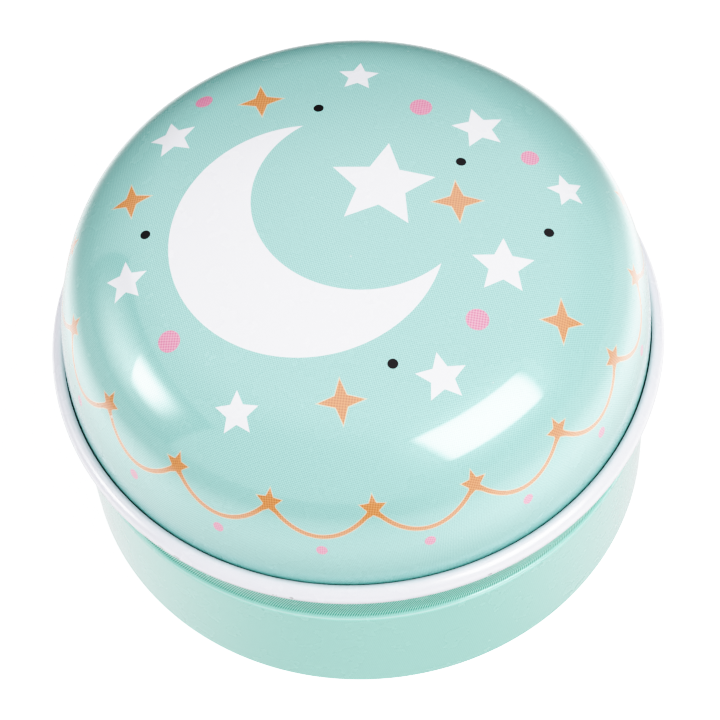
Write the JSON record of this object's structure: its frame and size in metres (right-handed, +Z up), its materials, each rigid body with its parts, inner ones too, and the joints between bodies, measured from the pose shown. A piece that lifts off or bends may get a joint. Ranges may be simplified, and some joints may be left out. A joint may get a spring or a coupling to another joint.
{
  "type": "slip-lid keepsake tin",
  "caption": "Small round tinplate box for baby teeth, with a domed lid whose white rolled rim slips over a stepped neck on a seamed body.",
  "frame": {"origin": "middle of the ring that the tin stands on, at floor level", "axes": "+Z up along the tin's axis, front towards -Y, the wall's side seam at +Y"},
  "size_m": [0.062, 0.062, 0.0405],
  "materials": {
    "lid_print": "mint print under gloss varnish, white rolled rim and lining",
    "wall_print": "mint print under gloss varnish, white lining",
    "base_plate": "lacquered bright tinplate outside, white lining inside"
  },
  "bodies": {
    "tin": {"body_wall": "wall_print", "base_disc": "base_plate"},
    "lid": {"lid_shell": "lid_print"}
  },
  "joints": [
    {"name": "lid_lift", "type": "slide", "parent": "tin", "child": "lid", "axis": [0, 0, 1], "range_m": [0, 0.045]}
  ]
}
